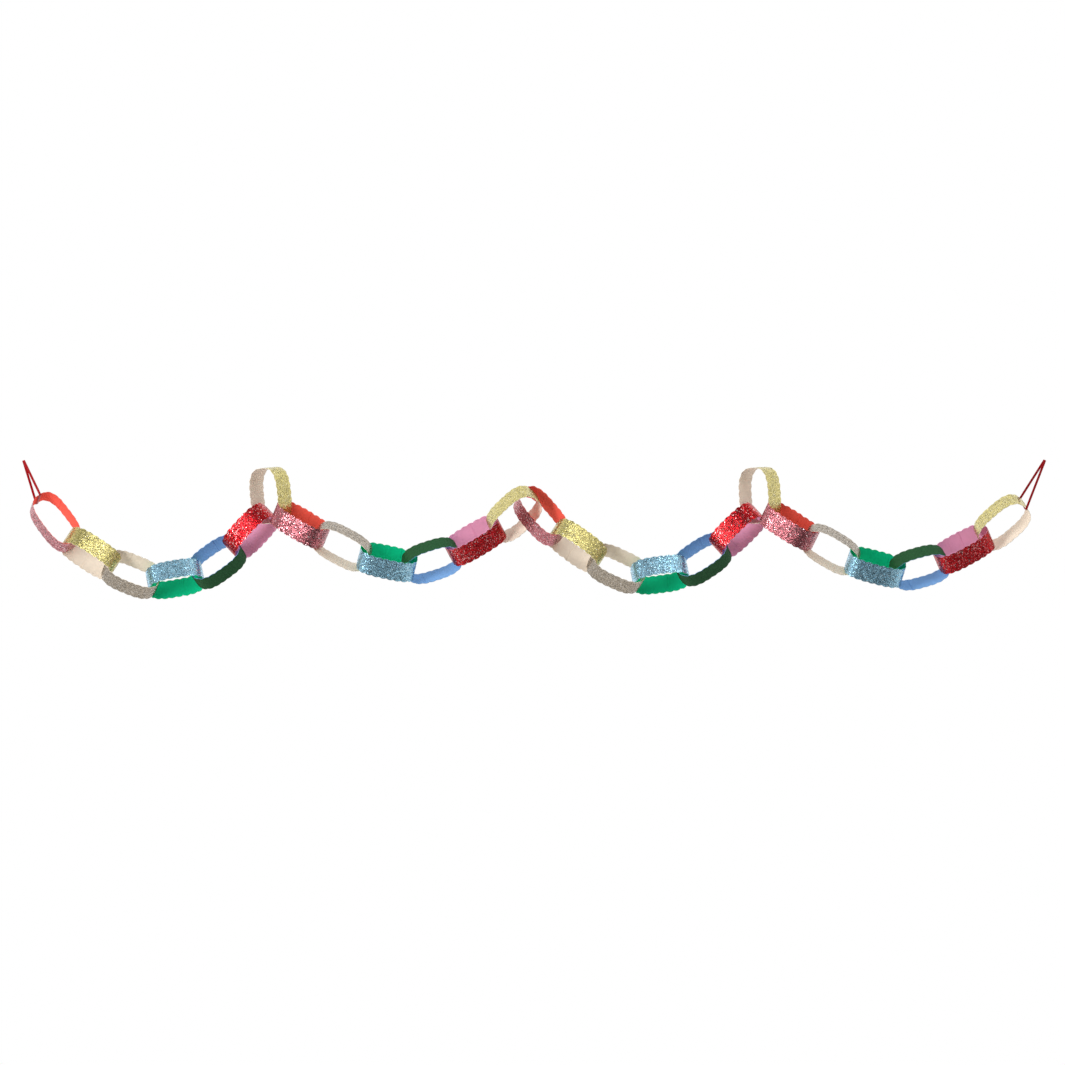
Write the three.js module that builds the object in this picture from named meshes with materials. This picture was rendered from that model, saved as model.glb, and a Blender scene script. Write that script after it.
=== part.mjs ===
import * as THREE from "three";

// Paper chain garland, in millimetres, hung in four swags along X, with Z up and the front facing -Y.
// Each link is one scalloped paper strip, bent into a loop and glued to itself where its ends lap.
const stripWidth = 31; // across the strip, over the crests of both scalloped edges
const thick = 0.5; // thickness of the glitter-coated card
const lapLength = 18; // how far the glued ends of a strip lie over each other
const scallopDepth = 1.6; // how far the edge dips between two scallops
const scallopCount = 21; // scallops along each edge of a closed loop
const stepsPerScallop = 3; // facets that follow one scallop
const loopSize = 64; // half length plus half depth, the same for every loop since the strips are
const loopSquareness = 2.9; // 2 is an ellipse, more is a loop with flatter ends and sides
const hold = 7; // how far a loop's end reaches past the middle of the joint with its neighbour
const sagStep = 2.45; // degrees by which the second pair of swags leans down to the right

// The run of links in two swags. Heading is the rise of the link's long axis, pitch turns its right
// end to the back, roll turns its strip about that axis. Half is half the loop's length, lapAt the
// turn at which the inner end is glued, counted from the right end. Tuck is how much further than
// hold the link sits in its joint, and off how far it hangs beside the joint, across and in depth.
const run = [
  { paper: "rose", heading: -47, pitch: -14, roll: 33, half: 42, lapAt: 0.3, tuck: 1.6, off: [0, -4.5] },
  { paper: "gold", heading: -33, pitch: 3.5, roll: -57.5, half: 40.5, lapAt: 0.75, tuck: 1, off: [0.5, -0.5] },
  { paper: "silver", heading: -22, pitch: 4.5, roll: 38, half: 40, lapAt: 0.27, tuck: 1, off: [-2.5, -2.5] },
  { paper: "blue", heading: 10, pitch: 5, roll: -56, half: 39.5, lapAt: 0.78, tuck: 0.5, off: [3, -2] },
  { paper: "green", heading: 36, pitch: 4.5, roll: 34, half: 40, lapAt: 0.22, tuck: 0, off: [0, 0] },
  { paper: "red", heading: 47, pitch: -5.5, roll: -63, half: 39.5, lapAt: 0.7, tuck: 3.3, off: [-0.5, -2] },
  { paper: "gold", heading: 96, pitch: 0, roll: 38, half: 39, lapAt: 0.17, tuck: 0, off: [0, 0] },
  { paper: "rose", heading: -30, pitch: -18.5, roll: 68.5, half: 41.5, lapAt: 0.25, tuck: 1.2, off: [-1, -2.5] },
  { paper: "silver", heading: -28, pitch: 4, roll: -22, half: 41.5, lapAt: 0.8, tuck: 0, off: [2, 1] },
  { paper: "blue", heading: -12, pitch: 5, roll: 66, half: 40.5, lapAt: 0.2, tuck: 0.5, off: [-1.5, -1.5] },
  { paper: "green", heading: 18, pitch: 5.5, roll: -30, half: 40, lapAt: 0.7, tuck: 0.5, off: [2, -2] },
  { paper: "red", heading: 31, pitch: 6, roll: 60, half: 42, lapAt: 0.24, tuck: 0, off: [-1, 0] },
  { paper: "gold", heading: 43.5, pitch: -13, roll: -33, half: 40, lapAt: 0.7, tuck: 0.4, off: [-3, -2.5] },
];
// The first and the last link of the garland hang in a ribbon, so they lie a little otherwise.
const firstLink = { heading: -52.2, pitch: -11.2, roll: 24.4, tuck: 0.65, off: [-1.6, -2.3] };
const lastLink = { heading: 44.2, pitch: -11.7, roll: -27.2, tuck: 0.45, off: [-1.55, 0.25] };
const peak = 6; // place in the run of the link that hangs upright between two swags
const peakSeats = [-16, 17]; // where its two neighbours sit across the bottom of the upright loop
const secondPeak = [691, -21, 0]; // middle of the second upright loop from the middle of the first

// A flat ribbon loop holds up each end of the chain.
const ribbonWidth = 4;
const ribbonThick = 0.6;
const ribbonGap = 0.7; // between the ribbon and the paper it passes under
const ribbonSpare = 1.9; // how far a leg stands clear of the strip's edge
const ribbonBends = [1.4, 1.4, 1.2]; // radius at the two edges of the strip and at the hook
const bendSteps = 6;
const leftReach = [-22.5, 0, 59]; // from the end of the first loop to where its ribbon hangs
const rightReach = [33, 0, 66.5];

const finishes = {
  rose: { color: "#b06f76", roughness: 0.45, metalness: 0.5 },
  gold: { color: "#cdbb80", roughness: 0.42, metalness: 0.6 },
  silver: { color: "#a39787", roughness: 0.45, metalness: 0.5 },
  blue: { color: "#8fb6c8", roughness: 0.42, metalness: 0.5 },
  green: { color: "#24532f", roughness: 0.7, metalness: 0.1 },
  red: { color: "#c01f28", roughness: 0.42, metalness: 0.5 },
  ribbon: { color: "#8e0a1c", roughness: 0.5, metalness: 0 },
};

// Axes of a link: along its loop, across the strip, and through the depth of the loop.
function axesOf(link, lean) {
  const turn = THREE.MathUtils.degToRad;
  const heading = turn(link.heading - lean);
  const along0 = new THREE.Vector3(Math.cos(heading), 0, Math.sin(heading));
  const up0 = new THREE.Vector3(-Math.sin(heading), 0, Math.cos(heading));
  const back = new THREE.Vector3(0, 1, 0);
  const pitch = turn(link.pitch);
  const roll = turn(link.roll);
  const along = along0.clone().multiplyScalar(Math.cos(pitch)).addScaledVector(back, Math.sin(pitch));
  const behind = back.clone().multiplyScalar(Math.cos(pitch)).addScaledVector(along0, -Math.sin(pitch));
  const across = behind.clone().multiplyScalar(Math.cos(roll)).addScaledVector(up0, -Math.sin(roll));
  const depth = up0.clone().multiplyScalar(Math.cos(roll)).addScaledVector(behind, Math.sin(roll));
  return { along, across, depth };
}

// A point of the loop's middle line, with its outward normal, at an angle around the loop.
function loopPoint(halfLength, halfDepth, angle) {
  const power = 2 / loopSquareness;
  const c = Math.cos(angle);
  const s = Math.sin(angle);
  const x = halfLength * Math.sign(c) * Math.abs(c) ** power;
  const y = halfDepth * Math.sign(s) * Math.abs(s) ** power;
  return new THREE.Vector2(x, y);
}

// The loop's middle line at equal steps along its length, starting where the inner end is glued.
function loopLine(halfLength, halfDepth, startAt, count) {
  const fine = 2000;
  const points = [];
  for (let i = 0; i < fine; i++) {
    points.push(loopPoint(halfLength, halfDepth, 2 * Math.PI * (startAt + i / fine)));
  }
  const lengths = [0];
  for (let i = 1; i <= fine; i++) {
    lengths.push(lengths[i - 1] + points[i % fine].distanceTo(points[i - 1]));
  }
  const total = lengths[fine];
  const line = [];
  let at = 0;
  for (let i = 0; i < count; i++) {
    const target = (total * i) / count;
    while (lengths[at + 1] < target) at++;
    const share = (target - lengths[at]) / (lengths[at + 1] - lengths[at]);
    line.push(points[at].clone().lerp(points[(at + 1) % fine], share));
  }
  return { line, total };
}

// One link: a closed band two papers thick over its lap, with a step at each end of the strip.
function linkGeometry(link, axes, centre) {
  const count = scallopCount * stepsPerScallop;
  const { line, total } = loopLine(link.half, loopSize - link.half, link.lapAt, count);
  const lapSteps = Math.round((lapLength / total) * count);
  const positions = [];
  const faces = [];
  const place = (point, normal, offset, reach) => {
    const flat = point.clone().addScaledVector(normal, offset);
    const v = centre.clone().addScaledVector(axes.along, flat.x);
    v.addScaledVector(axes.depth, flat.y).addScaledVector(axes.across, reach);
    positions.push(v.x, v.y, v.z);
    return positions.length / 3 - 1;
  };
  const normals = line.map((point, i) => {
    const way = line[(i + 1) % count].clone().sub(line[(i + count - 1) % count]).normalize();
    return new THREE.Vector2(way.y, -way.x);
  });
  const rims = line.map((point, i) => {
    const crest = Math.abs(Math.sin((Math.PI * (i + 0.5 * stepsPerScallop)) / stepsPerScallop));
    const reach = stripWidth / 2 - scallopDepth * (1 - crest);
    const climb = (thick * i) / count;
    const pair = (offset) => [-reach, reach].map((r) => place(point, normals[i], offset, r));
    const lapped = i <= lapSteps;
    return {
      inner: pair(climb - thick / 2),
      outer: pair(climb + thick / 2 + (lapped ? thick : 0)),
      innerBefore: i === 0 ? pair(thick / 2) : null,
      outerAfter: i === lapSteps ? pair(climb + thick / 2) : null,
    };
  });
  const quad = (a, b, c, d) => faces.push(a, b, c, a, c, d);
  const fan = (ring, flipped) => {
    for (let k = 1; k < ring.length - 1; k++) {
      faces.push(ring[0], ring[flipped ? k + 1 : k], ring[flipped ? k : k + 1]);
    }
  };
  for (let i = 0; i < count; i++) {
    const here = rims[i];
    const next = rims[(i + 1) % count];
    const out0 = here.outerAfter ?? here.outer;
    const out1 = next.outer;
    const in0 = here.inner;
    const in1 = next.innerBefore ?? next.inner;
    quad(out0[0], out0[1], out1[1], out1[0]);
    quad(in0[1], in0[0], in1[0], in1[1]);
    for (const edge of [0, 1]) {
      const rising = here.innerBefore ? [in0[edge], here.innerBefore[edge]] : [in0[edge]];
      const falling = next.outerAfter ? [next.outerAfter[edge], in1[edge]] : [in1[edge]];
      const ring = here.innerBefore
        ? [out1[edge], ...falling, ...rising, out0[edge]]
        : [...rising, out0[edge], out1[edge], ...falling];
      fan(ring, edge === 1);
    }
    if (here.outerAfter) quad(here.outer[0], here.outer[1], out0[1], out0[0]);
    if (here.innerBefore) quad(here.innerBefore[1], here.innerBefore[0], in0[0], in0[1]);
  }
  const geometry = new THREE.BufferGeometry();
  geometry.setAttribute("position", new THREE.Float32BufferAttribute(positions, 3));
  geometry.setIndex(faces);
  geometry.computeVertexNormals();
  return geometry;
}

const garland = new THREE.Group();

function addPiece(name, finish, geometry) {
  const mesh = new THREE.Mesh(geometry, new THREE.MeshStandardMaterial(finishes[finish]));
  mesh.name = name;
  garland.add(mesh);
}

// The joint that a link hangs in, at its leading (1) or trailing (-1) end.
function jointOf(placed, end) {
  return placed.centre.clone().addScaledVector(placed.axes.along, end * (placed.link.half - hold));
}

// A seat on the inside of an upright loop's bottom bend, some way across its depth.
function seatOf(placed, across) {
  const depth = loopSize - placed.link.half;
  const share = (1 - Math.abs(across / depth) ** loopSquareness) ** (1 / loopSquareness);
  const seat = placed.centre.clone().addScaledVector(placed.axes.depth, across);
  return seat.addScaledVector(placed.axes.along, hold - placed.link.half * share);
}

// The centre of a link that hangs in a joint by its leading (-1) or trailing (1) end.
function centreFrom(link, axes, joint, end) {
  const centre = joint.clone().addScaledVector(axes.along, end * (link.half - hold - link.tuck));
  return centre.addScaledVector(axes.across, link.off[0]).addScaledVector(axes.depth, link.off[1]);
}

// Places one run, working outwards from its upright link.
function placeRun(start, lean, otherwise) {
  const placed = run.map((usual, i) => {
    const link = { ...usual, ...otherwise[i] };
    return { link, axes: axesOf(link, lean), centre: new THREE.Vector3() };
  });
  placed[peak].centre.copy(start);
  for (let i = peak - 1; i >= 0; i--) {
    const joint = i === peak - 1 ? seatOf(placed[peak], -peakSeats[0]) : jointOf(placed[i + 1], -1);
    placed[i].centre = centreFrom(placed[i].link, placed[i].axes, joint, -1);
  }
  for (let i = peak + 1; i < run.length; i++) {
    const joint = i === peak + 1 ? seatOf(placed[peak], -peakSeats[1]) : jointOf(placed[i - 1], 1);
    placed[i].centre = centreFrom(placed[i].link, placed[i].axes, joint, 1);
  }
  return placed;
}

// A closed flat ribbon through three points, rounded at each, lying flat around the triangle.
function ribbonGeometry(corners) {
  const sides = corners.map((corner, i) => corners[(i + 1) % 3].clone().sub(corner).normalize());
  const flat = sides[0].clone().cross(sides[1]).normalize();
  const positions = [];
  const faces = [];
  corners.forEach((corner, i) => {
    const arriving = sides[(i + 2) % 3];
    const leaving = sides[i];
    const turn = arriving.angleTo(leaving);
    const inward = flat.clone().cross(arriving);
    const radius = ribbonBends[i];
    const pivot = corner.clone().addScaledVector(arriving, -radius * Math.tan(turn / 2));
    pivot.addScaledVector(inward, radius);
    for (let k = 0; k <= bendSteps; k++) {
      const angle = (turn * k) / bendSteps;
      const away = inward.clone().negate().multiplyScalar(Math.cos(angle));
      away.addScaledVector(arriving, Math.sin(angle));
      const rims = [
        [-0.5, -0.5],
        [-0.5, 0.5],
        [0.5, 0.5],
        [0.5, -0.5],
      ];
      for (const [out, side] of rims) {
        const v = pivot.clone().addScaledVector(away, radius + out * ribbonThick);
        v.addScaledVector(flat, side * ribbonWidth);
        positions.push(v.x, v.y, v.z);
      }
    }
  });
  const rings = positions.length / 12;
  for (let i = 0; i < rings; i++) {
    const next = (i + 1) % rings;
    for (let k = 0; k < 4; k++) {
      const a = 4 * i + k;
      const b = 4 * i + ((k + 1) % 4);
      const c = 4 * next + ((k + 1) % 4);
      const d = 4 * next + k;
      faces.push(a, b, c, a, c, d);
    }
  }
  const geometry = new THREE.BufferGeometry();
  geometry.setAttribute("position", new THREE.Float32BufferAttribute(positions, 3));
  geometry.setIndex(faces);
  geometry.computeVertexNormals();
  return geometry;
}

// The ribbon under the outer bend of an end link, up to where it hangs.
function addRibbon(name, placed, end, reach) {
  const inside = placed.link.half - thick / 2 - ribbonGap - ribbonThick / 2;
  const bend = placed.centre.clone().addScaledVector(placed.axes.along, end * inside);
  const side = stripWidth / 2 + ribbonSpare;
  const corners = [
    bend.clone().addScaledVector(placed.axes.across, -side),
    bend.clone().addScaledVector(placed.axes.across, side),
    bend.clone().add(new THREE.Vector3(...reach)),
  ];
  addPiece(name, "ribbon", ribbonGeometry(corners));
}

const lastPlace = run.length - 1;
const first = placeRun(new THREE.Vector3(0, 0, 0), 0, { 0: firstLink });
const second = placeRun(new THREE.Vector3(...secondPeak), sagStep, { [lastPlace]: lastLink });
[...first, ...second].forEach((placed, i) => {
  const name = "link_" + String(i + 1).padStart(2, "0") + "_" + placed.link.paper;
  addPiece(name, placed.link.paper, linkGeometry(placed.link, placed.axes, placed.centre));
});
addRibbon("ribbon_left", first[0], -1, leftReach);
addRibbon("ribbon_right", second[lastPlace], 1, rightReach);

// The frame's origin is the middle of the box around the whole garland.
const box = new THREE.Box3().setFromObject(garland, true);
const middle = box.getCenter(new THREE.Vector3());
garland.children.forEach((mesh) => mesh.geometry.translate(-middle.x, -middle.y, -middle.z));

export default garland;
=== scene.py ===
import bpy
import math
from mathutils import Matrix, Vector


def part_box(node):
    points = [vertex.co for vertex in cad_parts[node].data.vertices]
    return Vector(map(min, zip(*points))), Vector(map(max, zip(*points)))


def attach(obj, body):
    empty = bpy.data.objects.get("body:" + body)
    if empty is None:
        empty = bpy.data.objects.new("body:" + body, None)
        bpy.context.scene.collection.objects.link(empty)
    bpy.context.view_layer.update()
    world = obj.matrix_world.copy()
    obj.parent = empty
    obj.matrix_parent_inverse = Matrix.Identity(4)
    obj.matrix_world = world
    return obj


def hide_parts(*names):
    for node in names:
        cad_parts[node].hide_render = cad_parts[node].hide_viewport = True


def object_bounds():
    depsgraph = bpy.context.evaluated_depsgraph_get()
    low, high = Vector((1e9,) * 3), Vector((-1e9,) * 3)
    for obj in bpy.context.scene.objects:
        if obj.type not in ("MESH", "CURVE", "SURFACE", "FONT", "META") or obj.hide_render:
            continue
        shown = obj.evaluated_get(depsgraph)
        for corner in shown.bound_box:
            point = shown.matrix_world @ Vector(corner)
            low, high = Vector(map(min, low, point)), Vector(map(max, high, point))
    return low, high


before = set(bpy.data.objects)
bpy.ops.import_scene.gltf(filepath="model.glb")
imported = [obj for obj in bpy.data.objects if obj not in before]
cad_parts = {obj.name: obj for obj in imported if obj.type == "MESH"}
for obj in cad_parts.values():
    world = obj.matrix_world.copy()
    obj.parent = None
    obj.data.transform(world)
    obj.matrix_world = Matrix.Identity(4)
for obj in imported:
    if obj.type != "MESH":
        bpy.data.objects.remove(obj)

cadLow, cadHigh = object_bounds()
print("frame loaded")

# Paper chain garland: 26 scalloped strips of glitter card, each glued into a loop through its
# neighbours, hung in four swags from a satin ribbon at each end. Metres, Z up, front towards -Y.


def isDirected(value):  # a vector, or a socket that carries one
    return isinstance(value, (Vector, tuple)) or (isinstance(value, Wire) and value.isVector())


# A node socket that takes part in sums
class Wire:
    def __init__(self, tree, socket):
        self.tree = tree
        self.socket = socket

    def isVector(self):
        return self.socket.type in ("VECTOR", "RGBA")

    def both(self, operation, first, second):
        if isDirected(first) or isDirected(second):
            return self.vector(operation, first, second)
        return addNode(self.tree, "ShaderNodeMath", {"operation": operation}, {0: first, 1: second})

    def vector(self, operation, first, second):
        plain = [x for x in (first, second) if not isDirected(x)]
        settings = {"operation": operation}
        values = {0: first, 1: second}
        if operation == "MULTIPLY" and plain:  # a vector times a number
            settings = {"operation": "SCALE"}
            values = {"Vector": second if plain[0] is first else first, "Scale": plain[0]}
        return addNode(self.tree, "ShaderNodeVectorMath", settings, values)

    def __add__(self, other):
        return self.both("ADD", self, other)

    def __radd__(self, other):
        return self.both("ADD", other, self)

    def __sub__(self, other):
        return self.both("SUBTRACT", self, other)

    def __rsub__(self, other):
        return self.both("SUBTRACT", other, self)

    def __mul__(self, other):
        return self.both("MULTIPLY", self, other)

    def __rmul__(self, other):
        return self.both("MULTIPLY", other, self)

    def __truediv__(self, other):
        return self.both("DIVIDE", self, other)

    def __rtruediv__(self, other):
        return self.both("DIVIDE", other, self)

    def __pow__(self, other):
        return self.both("POWER", self, other)

    def __gt__(self, other):
        return self.both("GREATER_THAN", self, other)

    def one(self, operation):  # a sum on this socket alone
        return addNode(self.tree, "ShaderNodeMath", {"operation": operation}, {0: self})

    def part(self, axis):
        return addNode(self.tree, "ShaderNodeSeparateXYZ", {}, {0: self}, axis)

    def other(self, name):  # another output of the same node
        return Wire(self.tree, pick(self.socket.node.outputs, name))


def pick(sockets, key):
    usable = [s for s in sockets if s.enabled]
    return usable[key] if isinstance(key, int) else next(s for s in usable if s.name == key)


def addNode(tree, kind, settings=None, values=None, out=0):
    made = tree.nodes.new(kind)
    for name, value in (settings or {}).items():
        if name == "stops":
            setStops(made.color_ramp, value)
        else:
            setattr(made, name, value)
    for key, value in (values or {}).items():
        socket = pick(made.inputs, key)
        if isinstance(value, Wire):
            tree.links.new(value.socket, socket)
        else:
            socket.default_value = value
    return Wire(tree, pick(made.outputs, out))


def setStops(ramp, stops):
    while len(ramp.elements) > 1:
        ramp.elements.remove(ramp.elements[-1])
    ramp.elements[0].position = stops[0][0]
    ramp.elements[0].color = stops[0][1]
    for place, colour in stops[1:]:
        ramp.elements.new(place).color = colour


# The papers: the glitter coat is on one side of the card, the other side is plain
papers = {
    "rose": {
        "coat": (0.48, 0.135, 0.16),
        "plain": (0.90, 0.125, 0.085),
        "light": 1.7,
        "spark": 0.8,
        "lacquer": 0.3,
        "glaze": 0.4,
    },
    "gold": {"coat": (0.60, 0.52, 0.18), "plain": (0.88, 0.78, 0.65), "dark": 0.4},
    "silver": {
        "coat": (0.35, 0.295, 0.23),
        "plain": (0.84, 0.74, 0.61),
        "dark": 0.45,
        "lacquer": 0.35,
        "glaze": 0.4,
    },
    "blue": {"coat": (0.30, 0.57, 0.74), "plain": (0.0, 0.63, 0.30)},
    "green": {
        "coat": (0.012, 0.085, 0.024),
        "plain": (0.22, 0.44, 0.78),
        "shine": 0.0,
        "tilt": 0.3,
        "dark": 0.75,
        "light": 1.2,
        "spark": 0.0,
        "gloss": 0.6,
        "lacquer": 0.0,
        "glaze": 0.15,
        "flakes": {"Flake Lean": 0.12, "Flake Size": 0.0009, "Flake Gap": 0.0016},
    },
    "red": {
        "coat": (0.53, 0.004, 0.010),
        "plain": (0.90, 0.41, 0.62),
        "spark": 0.75,
        "lacquer": 0.25,
        "glaze": 0.35,
    },
}
coatLook = {
    "shine": 0.88,  # how metallic the flakes are
    "tilt": 0.38,  # how far the fine flecks lean out of the sheet
    "fleck": 0.0009,  # size of the fine flecks between the flakes
    "dark": 0.22,  # painted shade: how dark the flecks are painted that stand for flecks in shadow
    # painted highlight: how bright the lit flecks are painted
    "light": 1.45,
    "spark": 0.5,  # painted glint: how far the few brightest flecks are painted towards white
    "gloss": 0.16,  # roughness of the smoothest flakes
    "glossSpread": 0.2,  # how much rougher the dullest flakes are
    "lacquer": 0.5,
    "lacquerRoughness": 0.25,
    "glaze": 0.5,
    "steady": 0.5,  # how much less the flecks lean on a flake, which leans already
}
paperLook = {
    "fibre": 0.0006,  # length of the paper's fibres
    "cloud": 0.012,  # size of its faint cloudy patches
    "cloudShare": 0.6,  # of the patches against the fibres
    "relief": 0.00003,
    "reliefStrength": 0.6,
    "roughness": 0.78,
    "roughnessSpread": 0.14,
    "glaze": 0.15,
}


def newMaterial(name):
    material = bpy.data.materials.new(name)
    material.use_nodes = True
    material.node_tree.nodes.clear()
    return material, material.node_tree


def finishMaterial(tree, surface):
    output = tree.nodes.new("ShaderNodeOutputMaterial")
    tree.links.new(surface.socket, output.inputs["Surface"])


def shade(colour, factor):
    return (*[min(1.0, c * factor) for c in colour], 1.0)


def towardsWhite(colour, share):
    return (*[c + (1.0 - c) * share for c in colour], 1.0)


def glitterCoat(name, look):
    material, tree = newMaterial(name)
    place = addNode(tree, "ShaderNodeTexCoord", out="Object")
    fine = {"Vector": place, "Scale": 1 / look["fleck"]}
    cell = addNode(tree, "ShaderNodeTexVoronoi", {"feature": "F1"}, fine, "Color")
    flake = addNode(tree, "ShaderNodeAttribute", {"attribute_name": "sparkle"}, out="Fac")
    isFlake = flake > 0.001
    chance = cell.part(0) * (1 - isFlake) + flake * isFlake
    # each fleck's chance picks its colour from a ramp of painted shade, the coat colour, painted
    # highlight and painted glint towards white, on top of the real lean of the flecks
    colour = look["coat"]
    stops = [
        (0.0, shade(colour, look["dark"])),
        (0.35, shade(colour, 0.8)),
        (0.7, shade(colour, 1.1)),
        (0.9, shade(colour, look["light"])),
        (1.0, towardsWhite(colour, look["spark"])),
    ]
    base = addNode(tree, "ShaderNodeValToRGB", {"stops": stops}, {"Fac": chance}, "Color")
    normal = addNode(tree, "ShaderNodeNewGeometry", out="Normal")
    lean = (cell - (0.5, 0.5, 0.5)) * (look["tilt"] * (1 - look["steady"] * isFlake))
    facing = addNode(tree, "ShaderNodeVectorMath", {"operation": "NORMALIZE"}, {0: normal + lean})
    values = {
        "Base Color": base,
        "Metallic": look["shine"],
        "Roughness": look["gloss"] + look["glossSpread"] * cell.part(1),
        "Normal": facing,
        "Coat Weight": look["lacquer"],
        "Coat Roughness": look["lacquerRoughness"],
        "Specular IOR Level": look["glaze"],
    }
    finishMaterial(tree, addNode(tree, "ShaderNodeBsdfPrincipled", {}, values))
    return material


def plainPaper(name, colour):
    material, tree = newMaterial(name)
    place = addNode(tree, "ShaderNodeTexCoord", out="Object")
    cloudValues = {"Vector": place, "Scale": 1 / paperLook["cloud"], "Detail": 3.0}
    cloud = addNode(tree, "ShaderNodeTexNoise", {}, cloudValues)
    fibreValues = {"Vector": place, "Scale": 1 / paperLook["fibre"], "Detail": 4.0, "Distortion": 1.2}
    fibre = addNode(tree, "ShaderNodeTexNoise", {}, fibreValues)
    stops = [(0.3, shade(colour, 0.93)), (0.5, shade(colour, 1.0)), (0.7, shade(colour, 1.04))]
    mottle = paperLook["cloudShare"] * cloud + (1 - paperLook["cloudShare"]) * fibre
    base = addNode(tree, "ShaderNodeValToRGB", {"stops": stops}, {"Fac": mottle}, "Color")
    bumpValues = {
        "Height": fibre,
        "Distance": paperLook["relief"],
        "Strength": paperLook["reliefStrength"],
    }
    values = {
        "Base Color": base,
        "Roughness": paperLook["roughness"] + paperLook["roughnessSpread"] * fibre,
        "Normal": addNode(tree, "ShaderNodeBump", {}, bumpValues),
        "Specular IOR Level": paperLook["glaze"],
    }
    finishMaterial(tree, addNode(tree, "ShaderNodeBsdfPrincipled", {}, values))
    return material


coats = {name: glitterCoat(name + "Glitter", {**coatLook, **look}) for name, look in papers.items()}
plains = {name: plainPaper(name + "Paper", look["plain"]) for name, look in papers.items()}
print("papers mixed")

# One link: a strip bent into a loop, its end glued over its start
strip = {
    "Strip Width": 0.031,
    "Thickness": 0.0005,
    "Squareness": 2.9,  # 2 is an ellipse, more has flatter ends and sides
    "Scallops": 21,
    "Scallop Depth": 0.0016,
    "Lap Length": 0.018,
    "Lap Slip": 0.0006,  # how far the glued end lies beside the start
    "Lap Ramp": 0.0016,  # length over which the strip climbs an edge of the lap
    "Lap Press": 0.35,  # share of a thickness that the outer end presses into the sheet
    "Flake Size": 0.00135,
    "Flake Gap": 0.0013,
    "Flake Lean": 0.24,
    "Flake Stand": 0.00009,  # how far a flake's flat top stands out of the sheet
}
stepsPerScallop = 12
circleSteps = 1440
rowsAcross = 5
flakeSides = 6
flakeDepth = 0.3  # of a flake's size
flakeSizes = (0.7, 1.25)  # smallest and largest, times the flake size
flakeMargin = 0.35  # of a flake's size, kept free along the edges
weldDistance = 0.00001
foldAngle = 25  # degrees between faces from which an edge stays sharp
flakeDensity = 2.0e6  # tries per square metre, thinned out by the flake gap
lapClear = 0.06  # air between the lapped sheets, in thicknesses


def rampAt(tree, length, start, over):  # from 0 to 1, over a short length from start
    settings = {"interpolation_type": "SMOOTHSTEP"}
    values = {0: length, 1: start, 2: start + over, 3: 0.0, 4: 1.0}
    return addNode(tree, "ShaderNodeMapRange", settings, values)


def storeOn(tree, geometry, name, value, kind, domain="POINT"):
    settings = {"data_type": kind, "domain": domain}
    values = {"Geometry": geometry, "Name": name, "Value": value}
    return addNode(tree, "GeometryNodeStoreNamedAttribute", settings, values)


def readFrom(tree, name, kind):
    return addNode(tree, "GeometryNodeInputNamedAttribute", {"data_type": kind}, {"Name": name})


def joined(tree, first, second):
    join = tree.nodes.new("GeometryNodeJoinGeometry")
    tree.links.new(first.socket, join.inputs[0])
    tree.links.new(second.socket, join.inputs[0])
    return Wire(tree, join.outputs[0])


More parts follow.
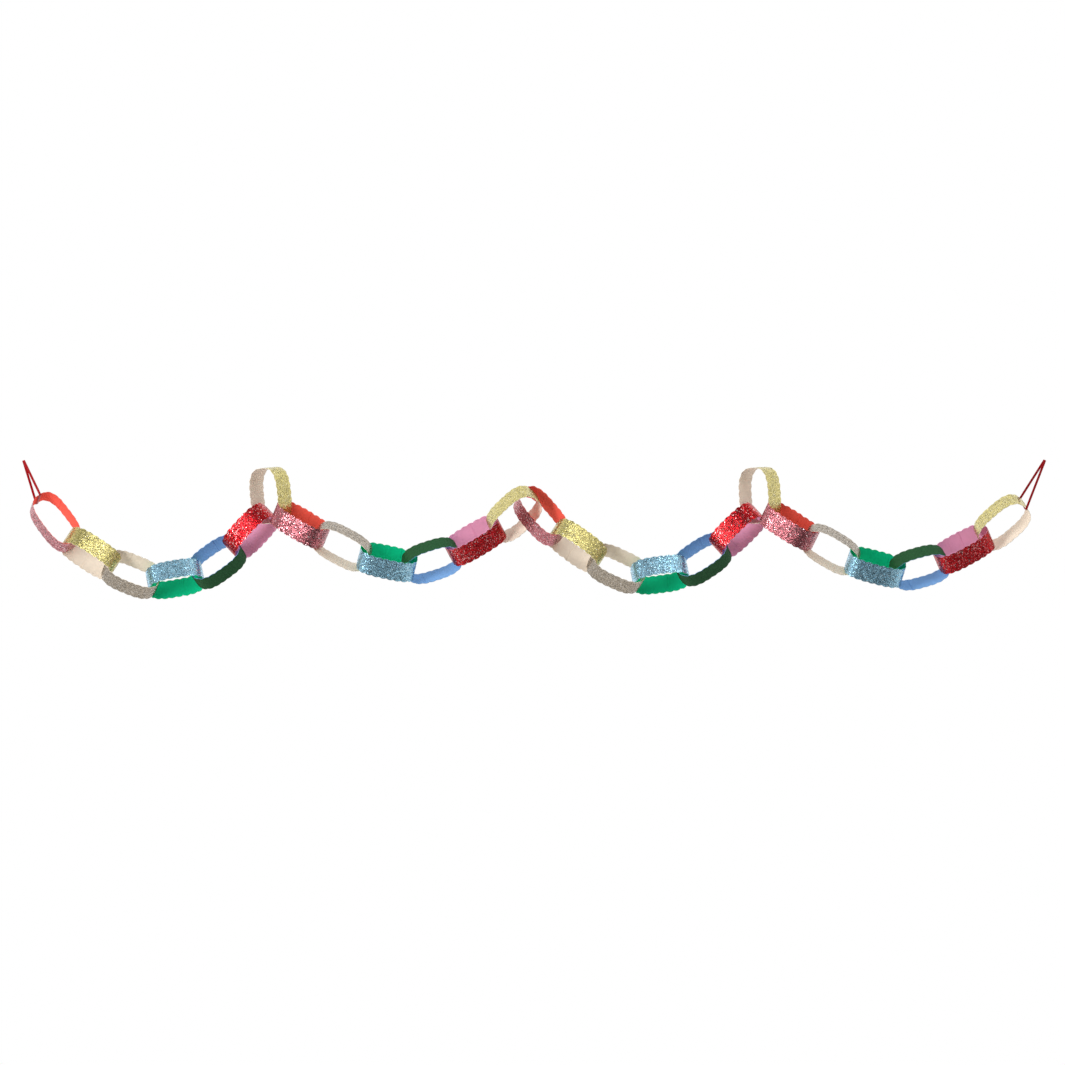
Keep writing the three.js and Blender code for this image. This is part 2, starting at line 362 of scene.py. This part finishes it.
def stripTree():
    tree = bpy.data.node_groups.new("scallopedLoop", "GeometryNodeTree")
    tree.interface.new_socket("Geometry", in_out="OUTPUT", socket_type="NodeSocketGeometry")
    numbers = {**strip, "Half Length": 0.04, "Half Depth": 0.024, "Lap At": 0.25, "Seed": 1}
    socketKinds = {float: "NodeSocketFloat", int: "NodeSocketInt"}
    for name, value in numbers.items():
        tree.interface.new_socket(name, in_out="INPUT", socket_type=socketKinds[type(value)])
    for name in ("Centre", "Along", "Across", "Depth"):
        tree.interface.new_socket(name, in_out="INPUT", socket_type="NodeSocketVector")
    for name in ("Coat", "Plain"):
        tree.interface.new_socket(name, in_out="INPUT", socket_type="NodeSocketMaterial")
    inputs = addNode(tree, "NodeGroupInput")
    given = {s.name: Wire(tree, s) for s in inputs.socket.node.outputs if s.name}

    # the loop's middle line, a rounded oblong in its own flat
    circleValues = {"Resolution": circleSteps, "Radius": 1.0}
    circle = addNode(tree, "GeometryNodeCurvePrimitiveCircle", {"mode": "RADIUS"}, circleValues)
    factor = addNode(tree, "GeometryNodeSplineParameter", out="Factor")
    angle = (factor + given["Lap At"]) * (2 * math.pi)
    power = 2 / given["Squareness"]
    cosine = angle.one("COSINE")
    sine = angle.one("SINE")
    ovalX = cosine.one("SIGN") * cosine.one("ABSOLUTE") ** power * given["Half Length"]
    ovalY = sine.one("SIGN") * sine.one("ABSOLUTE") ** power * given["Half Depth"]
    ovalPlace = addNode(tree, "ShaderNodeCombineXYZ", {}, {"X": ovalX, "Y": ovalY})
    oval = addNode(tree, "GeometryNodeSetPosition", {}, {"Geometry": circle, "Position": ovalPlace})
    around = addNode(tree, "GeometryNodeCurveLength", {}, {"Curve": oval})

    # the flat strip, from s = 0 at its inner end to one lap more than the way around
    steps = given["Scallops"] * float(stepsPerScallop)
    lapSteps = (given["Lap Length"] / around * steps).one("ROUND")
    rows = addNode(tree, "FunctionNodeFloatToInt", {}, {0: steps + lapSteps + 1})
    span = around * (steps + lapSteps) / steps
    sheetSizes = {"Size X": span, "Size Y": 2.0, "Vertices X": rows, "Vertices Y": rowsAcross}
    sheet = addNode(tree, "GeometryNodeMeshGrid", {}, sheetSizes)
    here = addNode(tree, "GeometryNodeInputPosition")
    fromStart = addNode(tree, "ShaderNodeCombineXYZ", {}, {"X": span / 2})
    flat = storeOn(tree, sheet, "stripPlace", here + fromStart, "FLOAT_VECTOR")
    placeOn = readFrom(tree, "stripPlace", "FLOAT_VECTOR")
    s = placeOn.part(0)
    w = placeOn.part(1)

    # two faces a card's thickness apart, the coated one outside
    raiseValues = {"Mesh": flat, "Offset Scale": 0.0, "Individual": False}
    raised = addNode(tree, "GeometryNodeExtrudeMesh", {"mode": "FACES"}, raiseValues)
    top = raised.other("Top")
    outside = storeOn(tree, raised, "outside", top, "FLOAT")
    marked = storeOn(tree, outside, "coated", top, "BOOLEAN", "FACE")
    layer = readFrom(tree, "outside", "FLOAT")
    share = s / around
    sampleValues = {"Curves": oval, "Factor": share.one("FRACT")}
    onLoop = addNode(tree, "GeometryNodeSampleCurve", {"mode": "FACTOR"}, sampleValues, "Position")
    heading = onLoop.other("Tangent")
    pressed = rampAt(tree, s, given["Lap Length"], given["Lap Ramp"]) * given["Lap Press"]
    lift = 1 + lapClear - given["Lap Press"]
    lifted = rampAt(tree, s, around - given["Lap Ramp"], given["Lap Ramp"]) * lift
    climb = given["Thickness"] * (pressed + lifted + layer - 0.5)
    flatX = onLoop.part(0) + heading.part(1) * climb
    flatY = onLoop.part(1) - heading.part(0) * climb
    crest = ((share * given["Scallops"] + 0.5) * math.pi).one("SINE").one("ABSOLUTE")
    reach = given["Strip Width"] / 2 - given["Scallop Depth"] * (1 - crest)
    sideways = given["Lap Slip"] * (share - 0.5) - w * reach
    onFlat = given["Centre"] + given["Along"] * flatX + given["Depth"] * flatY
    place = onFlat + given["Across"] * sideways
    coatedSheet = addNode(tree, "GeometryNodeSetPosition", {}, {"Geometry": marked, "Position": place})
    innerSheet = addNode(tree, "GeometryNodeSetPosition", {}, {"Geometry": flat, "Position": place})
    turned = addNode(tree, "GeometryNodeFlipFaces", {}, {"Mesh": innerSheet})

    # glitter flakes pressed into the coated face, none under the lap
    scatter = {
        "Mesh": coatedSheet,
        "Selection": (s > given["Lap Length"]) * (top > 0.5),
        "Distance Min": given["Flake Gap"],
        "Density Max": flakeDensity,
        "Seed": given["Seed"],
    }
    method = {"distribute_method": "POISSON"}
    points = addNode(tree, "GeometryNodeDistributePointsOnFaces", method, scatter)
    edgeMost = (w.one("ABSOLUTE") * reach) > (reach - flakeMargin * given["Flake Size"])
    dropValues = {"Geometry": points, "Selection": edgeMost}
    kept = addNode(tree, "GeometryNodeDeleteGeometry", {"domain": "POINT"}, dropValues)
    # a chance per flake, which the coat's ramp turns into painted shade, painted highlight or a
    # painted glint
    chanceValues = {"Min": 0.02, "Max": 1.0, "Seed": given["Seed"]}
    chance = addNode(tree, "FunctionNodeRandomValue", {"data_type": "FLOAT"}, chanceValues)
    flecked = storeOn(tree, kept, "sparkle", chance, "FLOAT")
    coneDepth = given["Flake Size"] * flakeDepth
    coneValues = {
        "Vertices": flakeSides,
        "Side Segments": 1,
        "Fill Segments": 1,
        "Radius Top": given["Flake Size"] / 2,
        "Radius Bottom": 0.0,
        "Depth": coneDepth,
    }
    cone = addNode(tree, "GeometryNodeMeshCone", {"fill_type": "NGON"}, coneValues)
    sink = addNode(tree, "ShaderNodeCombineXYZ", {}, {"Z": given["Flake Stand"] - coneDepth})
    sunk = addNode(tree, "GeometryNodeTransform", {}, {"Geometry": cone, "Translation": sink})
    shiny = storeOn(tree, sunk, "coated", True, "BOOLEAN", "FACE")
    leanValues = {"Min": (-1.0, -1.0, -math.pi), "Max": (1.0, 1.0, math.pi), "Seed": given["Seed"] + 7}
    lean = addNode(tree, "FunctionNodeRandomValue", {"data_type": "FLOAT_VECTOR"}, leanValues)
    tipX = lean.part(0) * given["Flake Lean"]
    tipY = lean.part(1) * given["Flake Lean"]
    tip = addNode(tree, "ShaderNodeCombineXYZ", {}, {"X": tipX, "Y": tipY, "Z": lean.part(2)})
    tipTurn = addNode(tree, "FunctionNodeEulerToRotation", {}, {"Euler": tip})
    turnValues = {"Rotation": points.other("Rotation"), "Rotate By": tipTurn}
    turn = addNode(tree, "FunctionNodeRotateRotation", {"rotation_space": "LOCAL"}, turnValues)
    sizeValues = {"Min": flakeSizes[0], "Max": flakeSizes[1], "Seed": given["Seed"] + 13}
    size = addNode(tree, "FunctionNodeRandomValue", {"data_type": "FLOAT"}, sizeValues)
    flakeValues = {"Points": flecked, "Instance": shiny, "Rotation": turn, "Scale": size}
    flakes = addNode(tree, "GeometryNodeInstanceOnPoints", {}, flakeValues)

    weldValues = {"Geometry": joined(tree, coatedSheet, turned), "Distance": weldDistance}
    welded = addNode(tree, "GeometryNodeMergeByDistance", {}, weldValues)
    whole = {"Geometry": joined(tree, welded, flakes)}
    real = addNode(tree, "GeometryNodeRealizeInstances", {}, whole)
    coatedFace = readFrom(tree, "coated", "BOOLEAN")
    plainValues = {"Geometry": real, "Material": given["Plain"]}
    plainSet = addNode(tree, "GeometryNodeSetMaterial", {}, plainValues)
    coatValues = {"Geometry": plainSet, "Selection": coatedFace, "Material": given["Coat"]}
    coatSet = addNode(tree, "GeometryNodeSetMaterial", {}, coatValues)
    output = tree.nodes.new("NodeGroupOutput")
    tree.links.new(coatSet.socket, output.inputs[0])
    return tree


def growPiece(name, tree, values):
    holder = bpy.data.objects.new(name + "Maker", bpy.data.meshes.new(name + "Maker"))
    bpy.context.scene.collection.objects.link(holder)
    maker = holder.modifiers.new("maker", "NODES")
    maker.node_group = tree
    for item in tree.interface.items_tree:
        if item.in_out == "INPUT":
            maker[item.identifier] = values[item.name]
    evaluated = holder.evaluated_get(bpy.context.evaluated_depsgraph_get())
    mesh = bpy.data.meshes.new_from_object(evaluated)
    holder.modifiers.remove(maker)
    bpy.data.objects.remove(holder)
    mesh.name = name
    piece = bpy.data.objects.new(name, mesh)
    bpy.context.scene.collection.objects.link(piece)
    mesh.shade_smooth()
    mesh.set_sharp_from_angle(angle=math.radians(foldAngle))
    return piece


# The run of links in two swags; the second half of the garland repeats it, leaning down by sagStep
loopSize = 0.064  # half length plus half depth of every loop
sagStep = 2.45
firstSeed = 100
# Heading is the rise of a link's long axis, pitch turns its right end to the back and roll turns its
# strip about that axis, all in degrees. Half is half the loop's length in millimetres, and lapAt the
# turn at which its inner end is glued, from the right end.
run = [
    {"paper": "rose", "heading": -47, "pitch": -14, "roll": 33, "half": 42, "lapAt": 0.3},
    {"paper": "gold", "heading": -33, "pitch": 3.5, "roll": -57.5, "half": 40.5, "lapAt": 0.75},
    {"paper": "silver", "heading": -22, "pitch": 4.5, "roll": 38, "half": 40, "lapAt": 0.27},
    {"paper": "blue", "heading": 10, "pitch": 5, "roll": -56, "half": 39.5, "lapAt": 0.78},
    {"paper": "green", "heading": 36, "pitch": 4.5, "roll": 34, "half": 40, "lapAt": 0.22},
    {"paper": "red", "heading": 47, "pitch": -5.5, "roll": -63, "half": 39.5, "lapAt": 0.7},
    {"paper": "gold", "heading": 96, "pitch": 0, "roll": 38, "half": 39, "lapAt": 0.17},
    {"paper": "rose", "heading": -30, "pitch": -18.5, "roll": 68.5, "half": 41.5, "lapAt": 0.25},
    {"paper": "silver", "heading": -28, "pitch": 4, "roll": -22, "half": 41.5, "lapAt": 0.8},
    {"paper": "blue", "heading": -12, "pitch": 5, "roll": 66, "half": 40.5, "lapAt": 0.2},
    {"paper": "green", "heading": 18, "pitch": 5.5, "roll": -30, "half": 40, "lapAt": 0.7},
    {"paper": "red", "heading": 31, "pitch": 6, "roll": 60, "half": 42, "lapAt": 0.24},
    {"paper": "gold", "heading": 43.5, "pitch": -13, "roll": -33, "half": 40, "lapAt": 0.7},
]
endLinks = {  # the first and the last link hang in a ribbon, so they lie a little otherwise
    0: {"heading": -52.2, "pitch": -11.2, "roll": 24.4},
    25: {"heading": 44.2, "pitch": -11.7, "roll": -27.2},
}


def linkAxes(link, sag):
    heading = math.radians(link["heading"] - sag)
    pitch = math.radians(link["pitch"])
    roll = math.radians(link["roll"])
    rise = Vector((math.cos(heading), 0, math.sin(heading)))
    up = Vector((-math.sin(heading), 0, math.cos(heading)))
    back = Vector((0, 1, 0))
    along = rise * math.cos(pitch) + back * math.sin(pitch)
    behind = back * math.cos(pitch) - rise * math.sin(pitch)
    across = behind * math.cos(roll) - up * math.sin(roll)
    depth = up * math.cos(roll) + behind * math.sin(roll)
    return along, across, depth


loopTree = stripTree()
links = []
for index in range(2 * len(run)):
    link = {**run[index % len(run)], **endLinks.get(index, {})}
    label = f"{index + 1:02d}_{link['paper']}"
    low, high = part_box("link_" + label)
    along, across, depth = linkAxes(link, sagStep * (index // len(run)))
    centre = (low + high) / 2
    half = link["half"] / 1000
    values = {
        **strip,
        "Half Length": half,
        "Half Depth": loopSize - half,
        "Lap At": link["lapAt"],
        "Seed": firstSeed + index,
        **papers[link["paper"]].get("flakes", {}),
        "Centre": centre,
        "Along": along,
        "Across": across,
        "Depth": depth,
        "Coat": coats[link["paper"]],
        "Plain": plains[link["paper"]],
    }
    piece = growPiece("strip_" + label, loopTree, values)
    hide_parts("link_" + label)
    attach(piece, "root")
    links.append({"centre": centre, "along": along, "across": across, "half": half})
print("links made:", len(links))

# The ribbons: a satin band under the outer bend of each end link, up to its hook
ribbon = {
    "width": 0.0035,
    "thick": 0.00035,
    "under": 0.00125,  # from the middle of the paper to the middle of the band
    "spare": 0.0174,  # from the middle of the strip to where a leg turns up
    "bends": (0.0014, 0.0014, 0.0012),
    "satin": (0.40, 0.0, 0.004),
    "thread": 0.00022,
    "relief": 0.00004,
    "gloss": 0.34,
    "glossSpread": 0.12,
    "glaze": 0.25,
    "foldAngle": 40,
}
hooks = {
    "ribbon_left": {"link": 0, "end": -1, "reach": Vector((-0.0225, 0, 0.059))},
    "ribbon_right": {"link": 25, "end": 1, "reach": Vector((0.033, 0, 0.0665))},
}


def satinRibbon():
    material, tree = newMaterial("satin")
    band = addNode(tree, "ShaderNodeUVMap", {"uv_map": "band"})
    ribs = (band.part(1) * (2 * math.pi * ribbon["width"] / ribbon["thread"] / 2)).one("SINE")
    picks = (band.part(0) * (2 * math.pi / ribbon["thread"])).one("SINE")
    weave = 0.5 + 0.35 * ribs + 0.15 * picks
    satin = ribbon["satin"]
    # the weave's dips are painted darker and its ridges lighter, a painted shade and sheen that
    # follows the relief
    stops = [(0.0, shade(satin, 0.55)), (0.5, shade(satin, 1.0)), (1.0, shade(satin, 1.35))]
    base = addNode(tree, "ShaderNodeValToRGB", {"stops": stops}, {"Fac": weave}, "Color")
    bumpValues = {"Height": weave, "Distance": ribbon["relief"], "Strength": 0.7}
    values = {
        "Base Color": base,
        "Roughness": ribbon["gloss"] + ribbon["glossSpread"] * weave,
        "Normal": addNode(tree, "ShaderNodeBump", {}, bumpValues),
        "Specular IOR Level": ribbon["glaze"],
    }
    finishMaterial(tree, addNode(tree, "ShaderNodeBsdfPrincipled", {}, values))
    return material


def roundedPath(corners, radii, bendSteps=14):  # around a triangle, with its outward directions
    sides = [(corners[(i + 1) % 3] - corners[i]).normalized() for i in range(3)]
    flat = sides[0].cross(sides[1]).normalized()
    path = []
    for i, corner in enumerate(corners):
        arriving = sides[(i + 2) % 3]
        turn = arriving.angle(sides[i])
        inward = flat.cross(arriving)
        pivot = corner - arriving * (radii[i] * math.tan(turn / 2)) + inward * radii[i]
        for k in range(bendSteps + 1):
            angle = turn * k / bendSteps
            away = arriving * math.sin(angle) - inward * math.cos(angle)
            path.append((pivot + away * radii[i], away))
    return path, flat


def bandMesh(name, corners):
    path, flat = roundedPath(corners, ribbon["bends"])
    quarter = [(0.5, 0.38), (0.46, 0.5)]  # one rounded edge of the band, across and through it
    profile = [(-x, -y) for x, y in quarter]
    profile += [(x, -y) for x, y in reversed(quarter)]
    profile += quarter
    profile += [(-x, y) for x, y in reversed(quarter)]
    verts = []
    for point, away in path:
        for side, out in profile:
            verts.append(point + flat * (side * ribbon["width"]) + away * (out * ribbon["thick"]))
    size = len(profile)
    rings = len(path)
    faces = []
    for i in range(rings):
        for k in range(size):
            nextRing = (i + 1) % rings
            nextSide = (k + 1) % size
            here = i * size
            there = nextRing * size
            faces.append((here + k, here + nextSide, there + nextSide, there + k))
    mesh = bpy.data.meshes.new(name)
    mesh.from_pydata(verts, [], faces)
    lengths = [0.0]
    for i in range(rings):
        lengths.append(lengths[-1] + (path[(i + 1) % rings][0] - path[i][0]).length)
    uv = mesh.uv_layers.new(name="band")
    for f, face in enumerate(mesh.polygons):
        i, k = divmod(f, size)
        sides = (profile[k][0], profile[(k + 1) % size][0])
        spots = [(lengths[i], sides[0]), (lengths[i], sides[1])]
        spots += [(lengths[i + 1], sides[1]), (lengths[i + 1], sides[0])]
        for loop, spot in zip(face.loop_indices, spots):
            uv.data[loop].uv = spot
    mesh.shade_smooth()
    mesh.set_sharp_from_angle(angle=math.radians(ribbon["foldAngle"]))
    return mesh


satin = satinRibbon()
for name, hook in hooks.items():
    held = links[hook["link"]]
    bend = held["centre"] + held["along"] * (hook["end"] * (held["half"] - ribbon["under"]))
    side = held["across"] * ribbon["spare"]
    mesh = bandMesh(name + "_band", [bend - side, bend + side, bend + hook["reach"]])
    piece = bpy.data.objects.new(name + "_band", mesh)
    bpy.context.scene.collection.objects.link(piece)
    mesh.materials.append(satin)
    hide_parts(name)
    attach(piece, "root")
print("ribbons made")

studio = {
    "floor": (0.86, 0.86, 0.85),
    "floorSize": (1.9, 1.0),
    "floorDrop": 0.74,
    "frameWidth": 1.503,
    "lens": 200.0,
    "sensor": 36.0,
    "cameraDrop": 0.0524,  # below the middle of the upright loops
    "farClip": 50,
    "ambient": 0.12,  # light from the dark room in front
    "backdrop": 1.3,  # light from the white wall behind and beside
    "below": 0.85,  # share of it that comes from below
    "side": (-0.7, 0.2),  # directions between which the room turns into the wall
    "rise": (-0.5, 0.4),  # and between which the light from below turns into that from above
    "key": {"place": (-2.1, -2.0, 0.3), "width": 0.9, "height": 2.2, "power": 60.0},
    "fill": {"place": (1.3, -1.8, 2.0), "width": 1.2, "height": 1.2, "power": 22.0},
}


def buildFloor():
    material, tree = newMaterial("paleFloor")
    values = {"Base Color": (*studio["floor"], 1.0), "Roughness": 0.9}
    finishMaterial(tree, addNode(tree, "ShaderNodeBsdfPrincipled", {}, values))
    width, depth = studio["floorSize"]
    sides = 96
    turns = [2 * math.pi * i / sides for i in range(sides)]
    level = cadLow.z - studio["floorDrop"]
    rim = [(width / 2 * math.cos(t), depth / 2 * math.sin(t), level) for t in turns]
    mesh = bpy.data.meshes.new("floor")
    mesh.from_pydata(rim, [], [range(sides)])
    mesh.materials.append(material)
    floor = bpy.data.objects.new("floor", mesh)
    bpy.context.scene.collection.objects.link(floor)


def buildWorld():
    world = bpy.data.worlds.new("studio")
    bpy.context.scene.world = world
    world.use_nodes = True
    tree = world.node_tree
    tree.nodes.clear()
    seen = addNode(tree, "ShaderNodeBackground", {}, {"Color": (1, 1, 1, 1), "Strength": 1.0})
    direction = addNode(tree, "ShaderNodeTexCoord", out="Generated")
    sideLow, sideHigh = studio["side"]
    riseLow, riseHigh = studio["rise"]
    behindValues = {0: direction.part(1), 1: sideLow, 2: sideHigh, 3: 0.0, 4: 1.0}
    behind = addNode(tree, "ShaderNodeMapRange", {}, behindValues)
    aboveValues = {0: direction.part(2), 1: riseLow, 2: riseHigh, 3: studio["below"], 4: 1.0}
    above = addNode(tree, "ShaderNodeMapRange", {}, aboveValues)
    glow = (studio["ambient"] + (studio["backdrop"] - studio["ambient"]) * behind) * above
    lit = addNode(tree, "ShaderNodeBackground", {}, {"Color": (1, 1, 1, 1), "Strength": glow})
    camera = addNode(tree, "ShaderNodeLightPath", out="Is Camera Ray")
    mixed = addNode(tree, "ShaderNodeMixShader", {}, {0: camera, 1: lit, 2: seen})
    output = tree.nodes.new("ShaderNodeOutputWorld")
    tree.links.new(mixed.socket, output.inputs["Surface"])


def addSoftbox(name):
    look = studio[name]
    light = bpy.data.lights.new(name, "AREA")
    light.energy = look["power"]
    light.shape = "RECTANGLE"
    light.size = look["width"]
    light.size_y = look["height"]
    box = bpy.data.objects.new(name, light)
    box.location = look["place"]
    box.rotation_euler = (-Vector(look["place"])).to_track_quat("-Z", "Y").to_euler()
    bpy.context.scene.collection.objects.link(box)


def buildCamera():
    lens = bpy.data.cameras.new("camera")
    lens.lens = studio["lens"]
    lens.sensor_width = studio["sensor"]
    camera = bpy.data.objects.new("camera", lens)
    low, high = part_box("link_07_gold")
    distance = studio["lens"] / studio["sensor"] * studio["frameWidth"]
    camera.location = (0.0, -distance, (low.z + high.z) / 2 - studio["cameraDrop"])
    camera.rotation_euler = (math.radians(90), 0, 0)
    lens.clip_end = studio["farClip"]
    bpy.context.scene.collection.objects.link(camera)
    bpy.context.scene.camera = camera


buildFloor()
buildWorld()
addSoftbox("key")
addSoftbox("fill")
buildCamera()
bpy.context.scene.view_settings.view_transform = "Standard"
print("studio ready")
